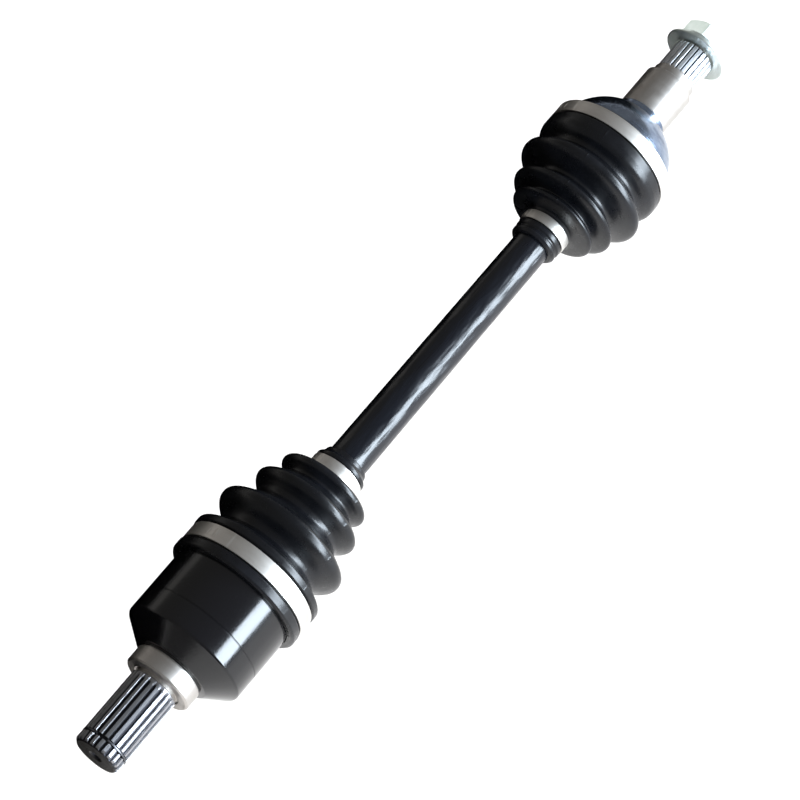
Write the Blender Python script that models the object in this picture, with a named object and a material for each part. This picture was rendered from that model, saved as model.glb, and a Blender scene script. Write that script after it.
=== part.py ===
"""Constant-velocity drive axle for a quad bike or side-by-side.

The axle lies along X with its axis at Y = Z = 0 and its middle at the origin. The inboard end
(-X) has a plunging double-offset ball joint in a cup, and the outboard end (+X) has a fixed ball
joint in a bell, a splined stub and an axle nut. Each piece is its own closed solid.
"""
import math

import bmesh
import bpy
from mathutils import Matrix, Vector

MM = 0.001                       # all sizes below are in millimetres
SEGMENTS = 24                    # facets round a large turned piece, one of them facing straight down
SHAFT_SEGMENTS = 20
GAP = 0.3                        # clearance between neighbouring pieces
CUTTER_EXTRA = 2.0               # how far a cutter reaches past what it cuts
CREASE = math.radians(35)        # edges sharper than this are shaded as corners

# Joints
INBOARD_CENTRE = -178.5          # station of the plunging joint's centre
OUTBOARD_CENTRE = 177.5          # station of the fixed joint's centre
BALL_RADIUS = 7.94
BALL_COUNT = 6
PITCH_RADIUS = 25.0              # of the circle that the ball centres lie on

# Shaft
BAR_RADII = (12.0, 11.2)         # the bar tapers from its inboard to its outboard end
NECK_RADIUS = 10.5               # inside the boots, where the shaft swings towards the mouth
COLLAR_RADIUS = 12.6             # stops the inner race
SHAFT_SPLINE = (18, 10.0, 11.0)  # teeth, root radius and tip radius
RACE_STOP = 0.4                  # play between a race and its collar or circlip
CIRCLIP_WIDTH = 1.3
INBOARD_RACE_HALF = 11.0
OUTBOARD_RACE_HALF = 11.5
SHAFT_TAIL = 4.0                 # shaft left past the race's outer face

# Inboard cup and stub
STUB_TIP = -287.0
STUB_RADIUS = 14.5
STUB_SPLINE = (22, 13.2, 14.5)
STUB_SHOULDER = -235.5
CLIP_GROOVE = (-280.4, -278.4)
CLIP_GROOVE_RADIUS = 12.8
JOURNAL_RADIUS = 20.8
JOURNAL_END = -224.2
CUP_RADIUS = 37.6
CUP_START = -212.7
CUP_FLOOR = -211.0
CUP_MOUTH = -146.7
CUP_BORE = 29.0
WIRE_GROOVE = (-150.6, -148.2)
WIRE_GROOVE_RADIUS = 30.7

# Outboard bell, stub and nut
BELL_RADIUS = 37.4               # outside sphere about the joint's centre
BELL_MOUTH = 167.5
BELL_SEAT_RADIUS = 36.8          # under the boot
BELL_SEAT_END = 187.2
BELL_BORE = 29.2
BELL_DEPTH = 21.7                # from the joint's centre to the floor of the bore
BELL_JOURNAL = 15.6
BELL_JOURNAL_END = 242.0
BELL_LAND_RADIUS = 13.4
BELL_SPLINE = (24, 11.8, 12.9)
BELL_SPLINE_START = 248.1
BELL_SPLINE_END = 268.0
THREAD_RADIUS = 8.95
THREAD_END = 287.0
WASHER_FACE = 268.8
WASHER_RADIUS = 19.9
WASHER_THICKNESS = 2.8
NUT_START = 271.9
NUT_END = 284.8
NUT_FLATS = 27.0                 # across the flats of the hexagon
NUT_COLLAR_RADIUS = 15.4

BOOT_WALL = 1.9
BAND_THICKNESS = 0.9
LAP_ANGLE = math.radians(50)     # where each band's end laps over, measured from +Z towards +Y


# Helpers ---------------------------------------------------------------------------------------

def polar(x, radius, angle):
    """A point at a station, a radius and an angle measured from +Z towards +Y."""
    return Vector((x, radius * math.sin(angle), radius * math.cos(angle)))


def make_material(name, colour, roughness, metallic):
    material = bpy.data.materials.new(name)
    material.use_nodes = True
    shader = material.node_tree.nodes["Principled BSDF"]
    shader.inputs["Base Color"].default_value = (*colour, 1.0)
    shader.inputs["Roughness"].default_value = roughness
    shader.inputs["Metallic"].default_value = metallic
    return material


def make_object(name, bm, origin_x=0.0, material=None):
    """Turn a bmesh drawn in millimetres into an object with its origin on the axle's axis."""
    shift = Matrix.Translation((-origin_x, 0.0, 0.0))
    bmesh.ops.transform(bm, matrix=Matrix.Scale(MM, 4) @ shift, verts=bm.verts)
    bmesh.ops.recalc_face_normals(bm, faces=bm.faces)
    mesh = bpy.data.meshes.new(name)
    bm.to_mesh(mesh)
    bm.free()
    mesh.shade_smooth()
    mesh.set_sharp_from_angle(angle=CREASE)
    piece = bpy.data.objects.new(name, mesh)
    piece.location = (origin_x * MM, 0.0, 0.0)
    bpy.context.collection.objects.link(piece)
    if material:
        mesh.materials.append(material)
    return piece


def turned(outline, segments=SEGMENTS, solid=False):
    """Spin an outline of (station, radius) points. A solid's outline starts and ends on the axis."""
    bm = bmesh.new()
    first = math.pi / segments
    verts = [bm.verts.new(polar(x, radius, first)) for x, radius in outline]
    edges = [bm.edges.new(pair) for pair in zip(verts, verts[1:])]
    if not solid:
        edges.append(bm.edges.new((verts[-1], verts[0])))
    bmesh.ops.spin(bm, geom=verts + edges, axis=(1, 0, 0), cent=(0, 0, 0), angle=math.tau,
                   steps=segments, use_merge=True)
    bmesh.ops.remove_doubles(bm, verts=bm.verts, dist=0.001)
    return bm


def loft(rings, loop=False, bm=None):
    """Join rings of points into a closed solid, with end caps unless the rings close on themselves."""
    bm = bm or bmesh.new()
    loops = [[bm.verts.new(point) for point in ring] for ring in rings]
    pairs = list(zip(loops, loops[1:]))
    if loop:
        pairs.append((loops[-1], loops[0]))
    else:
        bm.faces.new(reversed(loops[0]))
        bm.faces.new(loops[-1])
    for low, high in pairs:
        for i in range(len(low)):
            j = (i + 1) % len(low)
            bm.faces.new((low[i], low[j], high[j], high[i]))
    return bm


def cut(target, name, bm, origin_x=0.0):
    """Take a cutter's shape out of a piece."""
    cutter = make_object(name, bm, origin_x)
    cutter.hide_render = True
    cutter.display_type = "WIRE"
    modifier = target.modifiers.new(name, "BOOLEAN")
    modifier.operation = "DIFFERENCE"
    modifier.solver = "EXACT"
    modifier.object = cutter


def arc(centre_x, radius, start, end, steps):
    """Outline points on a circle about the axis, by angle in degrees from +X."""
    angles = [math.radians(start + (end - start) * i / steps) for i in range(steps + 1)]
    return [(centre_x + radius * math.cos(a), radius * math.sin(a)) for a in angles]


def sphere_arc(centre_x, radius, start_x, end_x, steps):
    """Outline points on a sphere of the given radius between two stations."""
    start, end = (math.degrees(math.acos((x - centre_x) / radius)) for x in (start_x, end_x))
    return arc(centre_x, radius, start, end, steps)


def offset_inwards(outline, distance):
    """The outline moved towards the axis by a wall thickness, measured square to the surface."""
    points = [Vector(point) for point in outline]
    moved = []
    for i, point in enumerate(points):
        before = (point - points[i - 1]).normalized() if i else None
        after = (points[i + 1] - point).normalized() if i + 1 < len(points) else None
        before, after = before or after, after or before
        along = (before + after).normalized()
        normal = Vector((along.y, -along.x))
        moved.append(tuple(point + normal * distance / max(normal.dot((before.y, -before.x)), 0.5)))
    return moved


def section(x0, x1, inner, outer, angle):
    """A ring's rectangular section at one angle round the axis."""
    return [polar(x, radius, angle) for x, radius in ((x0, inner), (x1, inner), (x1, outer), (x0, outer))]


def open_ring(x0, x1, inner, outer, gap_degrees, steps=16):
    """A snap ring: a ring with a gap, its gap upwards."""
    start = math.radians(gap_degrees / 2)
    sweep = math.tau - 2 * start
    return loft([section(x0, x1, inner, outer, start + sweep * i / steps) for i in range(steps + 1)])


def band(x0, x1, inner, lap_height):
    """A crimped boot band whose outer end laps over the inner one."""
    step = math.tau / SEGMENTS
    first = round(LAP_ANGLE / step - 0.5)
    rings = []
    for i in range(SEGMENTS):
        angle = (i + 0.5) * step
        raised = lap_height if i in (first, first + 1) else 0.0
        if i == first:
            rings.append(section(x0, x1, inner, inner + BAND_THICKNESS, angle - 0.06 * step))
        rings.append(section(x0, x1, inner, inner + BAND_THICKNESS + raised, angle))
    return loft(rings, loop=True)


def tooth_outline(teeth, root, tip, tip_share):
    """(angle, radius) corners round a spline: each tooth is a trapezium."""
    pitch = math.tau / teeth
    root_share = 1.0 - tip_share - 0.36
    for tooth in range(teeth):
        middle = tooth * pitch
        yield middle - pitch * (1 - root_share) / 2, root
        yield middle - pitch * tip_share / 2, tip
        yield middle + pitch * tip_share / 2, tip
        yield middle + pitch * (1 - root_share) / 2, root


def spline_hob(x0, x1, spline, overshoot=3.0):
    """A ring that leaves the teeth of an outer spline standing when it is cut away."""
    teeth, root, tip = spline
    return loft([section(x0, x1, radius if radius == root else tip + 0.02, tip + overshoot, angle)
                 for angle, radius in tooth_outline(teeth, root, tip, 0.34)], loop=True)


def spline_broach(x0, x1, spline):
    """A toothed bar that cuts an inner spline with clearance all round."""
    teeth, root, tip = spline
    corners = list(tooth_outline(teeth, root + GAP, tip + GAP, 0.42))
    return loft([[polar(x, radius, angle) for angle, radius in corners] for x in (x0, x1)])


def ball_angles():
    """Angles of the six balls: the first at the top and the fourth at the bottom."""
    return [math.tau * i / BALL_COUNT for i in range(BALL_COUNT)]


def ellipse(centre, across, deep, half_width, half_depth, sides=12):
    """Points of an ellipse about a centre, between a sideways and a depth direction."""
    turns = [math.tau * (i + 0.5) / sides for i in range(sides)]
    return [centre + across * half_width * math.cos(t) + deep * half_depth * math.sin(t) for t in turns]


def straight_tracks(x0, x1, pitch_radius, half_width, half_depth):
    """Six straight ball grooves, parallel to the axis."""
    bm = bmesh.new()
    for angle in ball_angles():
        across = polar(0, 1, angle + math.pi / 2)
        outwards = polar(0, 1, angle)
        loft([ellipse(polar(x, pitch_radius, angle), across, outwards, half_width, half_depth)
              for x in (x0, x1)], bm=bm)
    return bm


def curved_tracks(centre_x, pitch_radius, half_width, half_depth, start, end, steps):
    """Six ball grooves that curve round the joint's centre, by angle in degrees from +X."""
    bm = bmesh.new()
    for angle in ball_angles():
        across = polar(0, 1, angle + math.pi / 2)
        rings = []
        for x, radius in arc(0.0, 1.0, start, end, steps):
            outwards = polar(x, radius, angle)
            centre = Vector((centre_x, 0, 0)) + outwards * pitch_radius
            rings.append(ellipse(centre, across, outwards, half_width, half_depth))
        loft(rings, bm=bm)
    return bm


def cage_windows(centre_x, inner, outer, half_width, half_length):
    """Six windows for the balls."""
    bm = bmesh.new()
    for angle in ball_angles():
        across = polar(0, half_length, angle + math.pi / 2)
        rings = []
        for radius in (inner, outer):
            middle = polar(centre_x, radius, angle)
            along = Vector((half_width, 0, 0))
            rings.append([middle + along + across, middle - along + across,
                          middle - along - across, middle + along - across])
        loft(rings, bm=bm)
    return bm


# Materials -------------------------------------------------------------------------------------

def make_materials():
    return {
        "black_paint": make_material("black_paint", (0.012, 0.013, 0.016), 0.32, 0.0),
        "bell_steel": make_material("bell_steel", (0.05, 0.07, 0.11), 0.2, 0.9),
        "ground_steel": make_material("ground_steel", (0.55, 0.53, 0.5), 0.3, 1.0),
        "race_steel": make_material("race_steel", (0.48, 0.49, 0.5), 0.22, 1.0),
        "ball_steel": make_material("ball_steel", (0.75, 0.76, 0.78), 0.08, 1.0),
        "spring_steel": make_material("spring_steel", (0.12, 0.12, 0.13), 0.4, 0.9),
        "band_steel": make_material("band_steel", (0.8, 0.8, 0.78), 0.25, 1.0),
        "rubber": make_material("rubber", (0.014, 0.014, 0.016), 0.5, 0.0),
        "zinc": make_material("zinc", (0.72, 0.78, 0.75), 0.3, 1.0),
    }


# Pieces ----------------------------------------------------------------------------------------

def race_stations(centre, half, outwards):
    """Stations of the collar, the circlip and the shaft's end, on the far side of a race."""
    inner_face = centre - outwards * (half + RACE_STOP)
    clip_face = centre + outwards * (half + RACE_STOP)
    clip_back = clip_face + outwards * CIRCLIP_WIDTH
    end = centre + outwards * (half + SHAFT_TAIL)
    return inner_face, clip_face, clip_back, end


def shaft_end(centre, half, outwards, taper_end, bar_end, bar_radius):
    """Outline of one shaft end from its tip to the bar."""
    root, tip = SHAFT_SPLINE[1:]
    inner_face, clip_face, clip_back, end = race_stations(centre, half, outwards)
    play = outwards * 0.15
    collar_end = inner_face - outwards * 3.0
    return [
        (end, 0.0), (end, tip - 1.0), (end - outwards, tip),
        (clip_back + play, tip), (clip_back + play, root - 0.6),
        (clip_face - play, root - 0.6), (clip_face - play, tip),
        (inner_face, tip), (inner_face, COLLAR_RADIUS), (collar_end, COLLAR_RADIUS),
        (collar_end - outwards * 1.5, NECK_RADIUS), (taper_end, NECK_RADIUS), (bar_end, bar_radius),
    ]


def build_shaft(materials):
    inboard = shaft_end(INBOARD_CENTRE, INBOARD_RACE_HALF, -1, -127.5, -94.5, BAR_RADII[0])
    outboard = shaft_end(OUTBOARD_CENTRE, OUTBOARD_RACE_HALF, 1, 143.0, 125.0, BAR_RADII[1])
    shaft = make_object("axle_shaft", turned(inboard + outboard[::-1], SHAFT_SEGMENTS, solid=True),
                        material=materials["black_paint"])
    for side, centre, half, outwards in (("inboard", INBOARD_CENTRE, INBOARD_RACE_HALF, -1),
                                         ("outboard", OUTBOARD_CENTRE, OUTBOARD_RACE_HALF, 1)):
        inner_face, clip_face, clip_back, end = race_stations(centre, half, outwards)
        reach = sorted((inner_face + outwards * 0.1, end + outwards * CUTTER_EXTRA))
        cut(shaft, f"{side}_shaft_hob", spline_hob(*reach, SHAFT_SPLINE))
        ring = open_ring(*sorted((clip_face, clip_back)), SHAFT_SPLINE[1] - GAP, SHAFT_SPLINE[2] + 1.4, 40)
        make_object(f"{side}_race_circlip", ring, centre, materials["spring_steel"])


def build_race(side, centre, half, sphere, tracks, material):
    """An inner race: a spherical ring with a splined bore and six ball tracks."""
    face_radius = math.sqrt(sphere ** 2 - half ** 2)
    bore = SHAFT_SPLINE[1] + GAP
    outline = [(centre - half, bore), (centre - half, face_radius)]
    outline += sphere_arc(centre, sphere, centre - half, centre + half, 6)[1:-1]
    outline += [(centre + half, face_radius), (centre + half, bore)]
    race = make_object(f"{side}_inner_race", turned(outline), centre, material)
    broach = spline_broach(centre - half - CUTTER_EXTRA, centre + half + CUTTER_EXTRA, SHAFT_SPLINE)
    cut(race, f"{side}_race_broach", broach, centre)
    cut(race, f"{side}_race_tracks", tracks, centre)


def build_cage(side, centre, inner, outer, half, window, material):
    """A ball cage: a band between two spheres, with six windows."""
    outline = sphere_arc(centre, outer, centre - half, centre + half, 6)
    outline += sphere_arc(centre, inner, centre + half, centre - half, 6)
    cage = make_object(f"{side}_cage", turned(outline), centre, material)
    cut(cage, f"{side}_windows", cage_windows(centre, inner - 6, outer + 3, *window), centre)


def build_balls(side, centre, pitch_radius, material):
    for number, angle in enumerate(ball_angles(), start=1):
        bm = bmesh.new()
        bmesh.ops.create_uvsphere(bm, u_segments=12, v_segments=7, radius=BALL_RADIUS)
        bmesh.ops.translate(bm, vec=polar(centre, pitch_radius, angle), verts=bm.verts)
        make_object(f"{side}_ball_{number}", bm, centre, material)


def build_inboard_cup(materials):
    neck = STUB_SPLINE[1] - 0.4
    tooth_end = STUB_SHOULDER - 2.2
    outline = [
        (STUB_TIP + 3.6, 0.0), (STUB_TIP, 3.2), (STUB_TIP, STUB_RADIUS - 1.1), (STUB_TIP + 1.1, STUB_RADIUS),
        (CLIP_GROOVE[0], STUB_RADIUS), (CLIP_GROOVE[0], CLIP_GROOVE_RADIUS),
        (CLIP_GROOVE[1], CLIP_GROOVE_RADIUS), (CLIP_GROOVE[1], STUB_RADIUS),
        (tooth_end, STUB_RADIUS), (tooth_end + 0.8, neck), (STUB_SHOULDER + 0.6, neck),
        (STUB_SHOULDER + 0.6, STUB_RADIUS), (STUB_SHOULDER, STUB_RADIUS + 0.6),
        (STUB_SHOULDER, JOURNAL_RADIUS - 0.9), (STUB_SHOULDER + 0.9, JOURNAL_RADIUS),
        (JOURNAL_END, JOURNAL_RADIUS), (JOURNAL_END + 0.6, JOURNAL_RADIUS + 2.6),
        (CUP_START - 0.4, CUP_RADIUS - 0.6), (CUP_START + 0.3, CUP_RADIUS),
        (CUP_MOUTH - 2.0, CUP_RADIUS), (CUP_MOUTH, CUP_RADIUS - 2.0), (CUP_MOUTH, WIRE_GROOVE_RADIUS - 0.5),
        (WIRE_GROOVE[1], CUP_BORE), (WIRE_GROOVE[1] - 0.1, WIRE_GROOVE_RADIUS),
        (WIRE_GROOVE[0], WIRE_GROOVE_RADIUS), (WIRE_GROOVE[0], CUP_BORE),
        (CUP_FLOOR + 3.0, CUP_BORE), (CUP_FLOOR, CUP_BORE - 5.0), (CUP_FLOOR, 0.0),
    ]
    cup = make_object("inboard_cup", turned(outline, solid=True), INBOARD_CENTRE, materials["black_paint"])
    hob = spline_hob(STUB_TIP - CUTTER_EXTRA, tooth_end + 0.4, STUB_SPLINE)
    cut(cup, "inboard_stub_hob", hob, INBOARD_CENTRE)
    tracks = straight_tracks(CUP_FLOOR + 4.0, CUP_MOUTH + 4.0, PITCH_RADIUS, 8.9, 8.8)
    cut(cup, "inboard_cup_tracks", tracks, INBOARD_CENTRE)
    play = 0.4
    clip = open_ring(CLIP_GROOVE[0] + play, CLIP_GROOVE[1] - play, CLIP_GROOVE_RADIUS + GAP,
                     STUB_RADIUS + 0.1, 30)
    make_object("inboard_stub_circlip", clip, INBOARD_CENTRE, materials["spring_steel"])
    wire = open_ring(WIRE_GROOVE[0] + play, WIRE_GROOVE[1] - play - 0.1, CUP_BORE - 1.1,
                     WIRE_GROOVE_RADIUS - 0.6, 14, 30)
    make_object("inboard_wire_retainer", wire, INBOARD_CENTRE, materials["spring_steel"])


def build_inboard_boot(materials):
    """A three-fold bellows from the cup to the shaft."""
    cuff = CUP_RADIUS + GAP
    folds = [(-147.1, 40.7), (-144.7, 35.4), (-140.7, 32.5), (-130.1, 40.9), (-125.6, 40.9),
             (-118.2, 29.3), (-113.5, 28.2), (-107.1, 33.6), (-103.5, 33.1), (-97.8, 23.9),
             (-94.8, 23.4), (-90.5, 28.2), (-87.9, 27.4), (-85.3, 19.5)]
    outer = [(-170.6, cuff + 2.6), (-169.3, 42.0), (-164.5, 42.0), (-163.6, 40.3), (-152.4, 40.3),
             (-151.6, 41.9), (-148.9, 41.9)] + folds
    outer += [(-84.1, 15.2), (-75.9, 15.2), (-75.3, 15.9), (-73.5, 15.7), (-70.9, 13.9), (-68.2, 13.3)]
    inner = offset_inwards(folds, BOOT_WALL)[2:-1]
    inner = [(-170.6, cuff), (-148.7, cuff), (-146.3, cuff - 2.3)] + inner
    inner += [(-85.7, BAR_RADII[0] + GAP), (-68.2, BAR_RADII[0] + GAP)]
    make_object("inboard_boot", turned(outer + inner[::-1]), INBOARD_CENTRE, materials["rubber"])
    make_object("inboard_large_clamp", band(-162.9, -153.2, 40.3 + GAP, 0.7), INBOARD_CENTRE,
                materials["band_steel"])
    make_object("inboard_small_clamp", band(-83.5, -76.5, 15.2 + GAP, 0.7), INBOARD_CENTRE,
                materials["band_steel"])


def build_outboard_bell(materials):
    centre = OUTBOARD_CENTRE
    root, tip = BELL_SPLINE[1:]
    meet = centre + math.sqrt(BELL_RADIUS ** 2 - (BELL_JOURNAL + 3.0) ** 2)
    outline = [(BELL_MOUTH, BELL_SEAT_RADIUS - 2.0), (BELL_MOUTH + 2.0, BELL_SEAT_RADIUS),
               (BELL_SEAT_END, BELL_SEAT_RADIUS)]
    outline += sphere_arc(centre, BELL_RADIUS, BELL_SEAT_END, meet, 7)
    outline += [
        (meet + 2.4, BELL_JOURNAL), (BELL_JOURNAL_END - 0.6, BELL_JOURNAL),
        (BELL_JOURNAL_END, BELL_JOURNAL - 0.6), (BELL_JOURNAL_END, BELL_LAND_RADIUS),
        (BELL_SPLINE_START - 0.8, BELL_LAND_RADIUS),
        (BELL_SPLINE_START, tip), (BELL_SPLINE_END - 0.8, tip), (BELL_SPLINE_END, root - 0.5),
        (BELL_SPLINE_END, THREAD_RADIUS), (THREAD_END - 1.2, THREAD_RADIUS),
        (THREAD_END, THREAD_RADIUS - 1.2), (THREAD_END, 3.0), (THREAD_END - 3.2, 0.0),
    ]
    floor = centre + BELL_DEPTH
    bore = sphere_arc(centre, BELL_BORE, floor, BELL_MOUTH, 10)
    outline = [(floor, 0.0)] + bore + outline
    bell = make_object("outboard_bell", turned(outline, solid=True), centre, materials["bell_steel"])
    cut(bell, "outboard_bell_tracks", curved_tracks(centre, PITCH_RADIUS, 10.1, 8.8, 53, 137, 8), centre)
    hob = spline_hob(BELL_SPLINE_START + 0.2, BELL_SPLINE_END + CUTTER_EXTRA, BELL_SPLINE)
    cut(bell, "outboard_stub_hob", hob, centre)


def build_outboard_boot(materials):
    """A three-fold bellows from the shaft to the bell."""
    cuff = BELL_SEAT_RADIUS + GAP
    folds = [(123.6, 18.1), (124.2, 26.3), (126.4, 27.6), (129.8, 23.1), (134.2, 33.3), (137.0, 33.9),
             (141.4, 26.9), (144.3, 27.2), (150.4, 40.0), (154.4, 40.8), (159.6, 33.8), (162.4, 33.4),
             (165.2, 37.8)]
    outer = [(105.2, 13.6), (106.5, 14.9), (113.3, 14.9), (114.0, 14.1), (121.2, 14.1), (122.6, 15.2)] + folds
    outer += [(167.6, 39.7), (170.6, 40.5), (175.6, 40.5), (176.4, 39.1), (186.2, 39.1), (186.9, 38.6)]
    inner = offset_inwards(folds, BOOT_WALL)[1:]
    inner = [(105.2, BAR_RADII[1] + GAP), (124.6, BAR_RADII[1] + GAP)] + inner
    inner += [(167.0, cuff - 2.4), (169.0, cuff), (186.9, cuff)]
    make_object("outboard_boot", turned(outer + inner[::-1]), OUTBOARD_CENTRE, materials["rubber"])
    make_object("outboard_large_clamp", band(177.1, 185.6, 39.1 + GAP, 0.7), OUTBOARD_CENTRE,
                materials["band_steel"])
    make_object("outboard_small_clamp", band(114.4, 120.6, 14.1 + GAP, 0.7), OUTBOARD_CENTRE,
                materials["band_steel"])


def build_nut(materials):
    """A hexagon nut on a captive conical washer."""
    bore = THREAD_RADIUS + GAP
    washer_back = WASHER_FACE + WASHER_THICKNESS
    washer = [(WASHER_FACE, BELL_SPLINE[2] + 0.4), (WASHER_FACE, WASHER_RADIUS - 0.7),
              (WASHER_FACE + 0.7, WASHER_RADIUS), (washer_back - 1.4, WASHER_RADIUS),
              (washer_back, WASHER_RADIUS - 2.4), (washer_back, bore), (WASHER_FACE + 1.2, bore)]
    make_object("axle_washer", turned(washer), NUT_START, materials["zinc"])
    collar_end = NUT_START + 2.6
    nut = [(NUT_START, bore + 0.8), (NUT_START, NUT_COLLAR_RADIUS + 1.6),
           (collar_end - 1.2, NUT_COLLAR_RADIUS + 1.6), (collar_end, NUT_COLLAR_RADIUS),
           (NUT_END - 1.6, NUT_COLLAR_RADIUS), (NUT_END, NUT_COLLAR_RADIUS - 2.6),
           (NUT_END, bore + 0.8), (NUT_END - 0.8, bore), (NUT_START + 0.8, bore)]
    piece = make_object("axle_nut", turned(nut, 24), NUT_START, materials["zinc"])
    corner = NUT_FLATS / math.sqrt(3)
    hexagon = [(math.tau * (i + 0.5) / 6, corner) for i in range(6)]
    rings = [section(collar_end, NUT_END + CUTTER_EXTRA, radius, radius + 12, angle)
             for angle, radius in hexagon]
    cut(piece, "nut_flats", loft(rings, loop=True), NUT_START)


def build_axle():
    for old in list(bpy.data.objects):
        bpy.data.objects.remove(old, do_unlink=True)
    materials = make_materials()
    race, cage_steel, ball = materials["race_steel"], materials["spring_steel"], materials["ball_steel"]
    build_shaft(materials)

    centre = INBOARD_CENTRE
    tracks = straight_tracks(centre - 15, centre + 15, PITCH_RADIUS - 0.3, 8.9, 8.8)
    build_race("inboard", centre, INBOARD_RACE_HALF, 21.5, tracks, race)
    build_cage("inboard", centre, 22.1, 28.3, 12.8, (8.3, 9.0), cage_steel)
    build_balls("inboard", centre, PITCH_RADIUS, ball)
    build_inboard_cup(materials)
    build_inboard_boot(materials)

    centre = OUTBOARD_CENTRE
    tracks = curved_tracks(centre, PITCH_RADIUS, 10.1, 8.8, 50, 130, 6)
    build_race("outboard", centre, OUTBOARD_RACE_HALF, 21.3, tracks, race)
    build_cage("outboard", centre, 22.1, 28.3, 12.8, (8.3, 9.2), cage_steel)
    build_balls("outboard", centre, PITCH_RADIUS, ball)
    build_outboard_bell(materials)
    build_outboard_boot(materials)
    build_nut(materials)


build_axle()
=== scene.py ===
"""Looks for the CV axle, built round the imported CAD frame.

Sizes of the part are in millimetres. The stage, the lights and bump heights are in metres.
"""
import math

import bmesh
import bpy
import numpy as np
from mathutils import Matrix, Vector


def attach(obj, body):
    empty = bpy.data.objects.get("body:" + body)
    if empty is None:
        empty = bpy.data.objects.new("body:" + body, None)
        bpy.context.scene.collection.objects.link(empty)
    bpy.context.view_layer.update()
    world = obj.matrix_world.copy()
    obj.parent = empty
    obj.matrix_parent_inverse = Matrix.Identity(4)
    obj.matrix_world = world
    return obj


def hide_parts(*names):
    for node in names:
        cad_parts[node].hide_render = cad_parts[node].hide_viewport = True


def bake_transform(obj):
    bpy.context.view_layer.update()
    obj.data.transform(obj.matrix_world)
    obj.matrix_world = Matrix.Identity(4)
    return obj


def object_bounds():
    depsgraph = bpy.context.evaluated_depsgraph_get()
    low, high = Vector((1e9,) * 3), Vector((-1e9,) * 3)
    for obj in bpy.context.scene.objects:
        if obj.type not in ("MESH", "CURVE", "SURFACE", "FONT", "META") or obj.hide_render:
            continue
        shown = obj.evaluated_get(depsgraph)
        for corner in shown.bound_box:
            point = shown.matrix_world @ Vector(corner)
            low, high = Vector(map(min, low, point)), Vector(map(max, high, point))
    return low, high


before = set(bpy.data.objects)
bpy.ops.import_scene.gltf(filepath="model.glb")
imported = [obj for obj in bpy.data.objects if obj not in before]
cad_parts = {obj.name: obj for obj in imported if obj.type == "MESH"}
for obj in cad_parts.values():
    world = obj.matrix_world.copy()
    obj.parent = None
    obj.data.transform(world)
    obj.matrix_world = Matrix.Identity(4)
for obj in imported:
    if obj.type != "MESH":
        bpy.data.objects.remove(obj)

CAD_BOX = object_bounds()
MM = 0.001
TAU = math.tau

# Stations and sizes
INBOARD, OUTBOARD = -178.5, 177.5       # joint centres
PITCH = 25.0                            # radius of the circle of balls
TRACK_DEPTH = 8.8                       # how far a ball groove goes beyond that circle
CUP_RADIUS, CUP_BORE = 37.6, 29.0
BELL_RADIUS, BELL_BORE = 37.4, 29.2
BELL_MOUTH, BELL_SEAT = 167.5, 36.8     # where the bell begins, and its radius under the boot
BELL_SKIN = 6.0                         # rings nearer to the bell's outside than this aren't grooved
FLOOR_GAP = 21.7                        # from the outboard joint's centre to the bell's floor
INBOARD_SPLINE = 22, 13.1, 14.5         # teeth, root radius and tip radius
OUTBOARD_SPLINE = 24, 11.7, 12.9
RACE_SPLINE = 18, 10.0, 11.0            # both ends of the shaft, inside the joints
THREAD_RADIUS, THREAD_PITCH, THREAD_DEPTH = 8.95, 1.5, 0.75
NUT_BORE, HALF_FLATS = 9.25, 13.5       # the washer has the same bore
BOOT_WALL = 1.9
NECK_BORE = 12.9                        # rings inside this radius carry no parting line
BAND_THICKNESS, LAP_LIFT, HOOK_HEIGHT = 0.9, 0.22, 0.3
HOOKS = (16, 24)                        # degrees from a band's lap to its two hooks
SEAM_INBOARD, SEAM_OUTBOARD = math.radians(-58), math.radians(-4)     # mould parting lines
LAPS = {"inboard_large": 10, "inboard_small": 25, "outboard_large": 36, "outboard_small": 40}

# How outlines are drawn
CORNER_STEPS, CURVE_STEPS = 5, 8
HOLD = 0.25                             # how near a long run's ends its extra points sit
RUN_OUT = 3.0                           # radius on which a spline's teeth run out


# Shape helpers ---------------------------------------------------------------------------------

def rounded(points):
    """An outline of (x, r) or (x, r, radius) points, with each corner that has a radius rounded off."""
    out = []
    for i, point in enumerate(points):
        here = np.array(point[:2], float)
        if len(point) < 3 or i in (0, len(points) - 1):
            out.append(here)
            continue
        before = np.array(points[i - 1][:2], float) - here
        after = np.array(points[i + 1][:2], float) - here
        la, lb = np.linalg.norm(before), np.linalg.norm(after)
        before, after = before / la, after / lb
        half = math.acos(max(-1.0, min(1.0, float(before @ after)))) / 2
        reach = min(point[2] / max(math.tan(half), 1e-3), 0.48 * la, 0.48 * lb)
        start, end = here + before * reach, here + after * reach
        for k in range(CORNER_STEPS + 1):
            t = k / CORNER_STEPS
            out.append(start * (1 - t) ** 2 + here * 2 * t * (1 - t) + end * t * t)
    return out


def held(points, step=None):
    """The outline with extra points near the ends of its long runs, and no run longer than step."""
    out = [points[0]]
    for a, b in zip(points, points[1:]):
        length = np.linalg.norm(b - a)
        shares = []
        if length > 4 * HOLD:
            shares = [HOLD / length, 1 - HOLD / length]
        if step:
            shares += [k / math.ceil(length / step) for k in range(1, math.ceil(length / step))]
        out += [a + (b - a) * s for s in sorted(shares)] + [b]
    return out


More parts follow.
